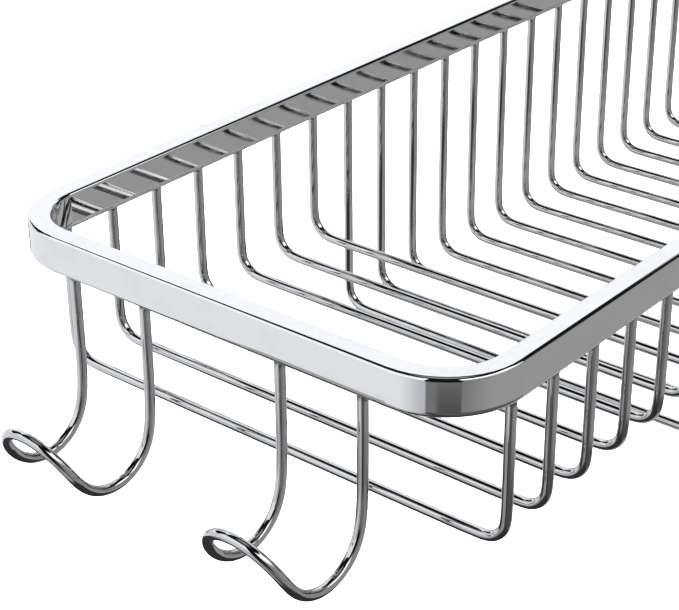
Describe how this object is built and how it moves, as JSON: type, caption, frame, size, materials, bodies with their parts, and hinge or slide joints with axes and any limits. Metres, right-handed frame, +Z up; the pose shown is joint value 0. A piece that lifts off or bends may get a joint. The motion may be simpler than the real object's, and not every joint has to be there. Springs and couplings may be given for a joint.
{
  "type": "shower caddy",
  "caption": "Wall-mounted chrome wire shower basket with a flat-bar rim, a shallow soap tray at one end, a deeper main basket and two J hooks.",
  "frame": {"origin": "on the plane of the wall, half way between the two wall posts, at the height of their axes", "axes": "+X along the basket away from the hooks, +Y into the wall, +Z up"},
  "size_m": [0.4222, 0.1345, 0.0734],
  "materials": {
    "chrome_bar": "mirror polished",
    "chrome_wire": "mirror polished, drawn wire",
    "chrome_hook": "mirror polished, drawn wire",
    "post_steel": "turned",
    "screw_steel": "machined"
  },
  "bodies": {
    "root": {"rim": "chrome_bar", "tray_wire_01": "chrome_wire", "tray_wire_02": "chrome_wire", "tray_wire_03": "chrome_wire", "tray_wire_04": "chrome_wire", "tray_wire_05": "chrome_wire", "tray_wire_06": "chrome_wire", "tray_wire_07": "chrome_wire", "basket_wire_01": "chrome_wire", "basket_wire_02": "chrome_wire", "basket_wire_03": "chrome_wire", "basket_wire_04": "chrome_wire", "basket_wire_05": "chrome_wire", "basket_wire_06": "chrome_wire", "basket_wire_07": "chrome_wire", "basket_wire_08": "chrome_wire", "basket_wire_09": "chrome_wire", "basket_wire_10": "chrome_wire", "basket_wire_11": "chrome_wire", "basket_wire_12": "chrome_wire", "basket_wire_13": "chrome_wire", "basket_wire_14": "chrome_wire", "basket_wire_15": "chrome_wire", "basket_wire_16": "chrome_wire", "basket_wire_17": "chrome_wire", "basket_wire_18": "chrome_wire", "hook_back": "chrome_hook", "hook_front": "chrome_hook", "wall_post_left": "post_steel", "wall_post_right": "post_steel", "set_screws": "screw_steel"}
  },
  "joints": []
}
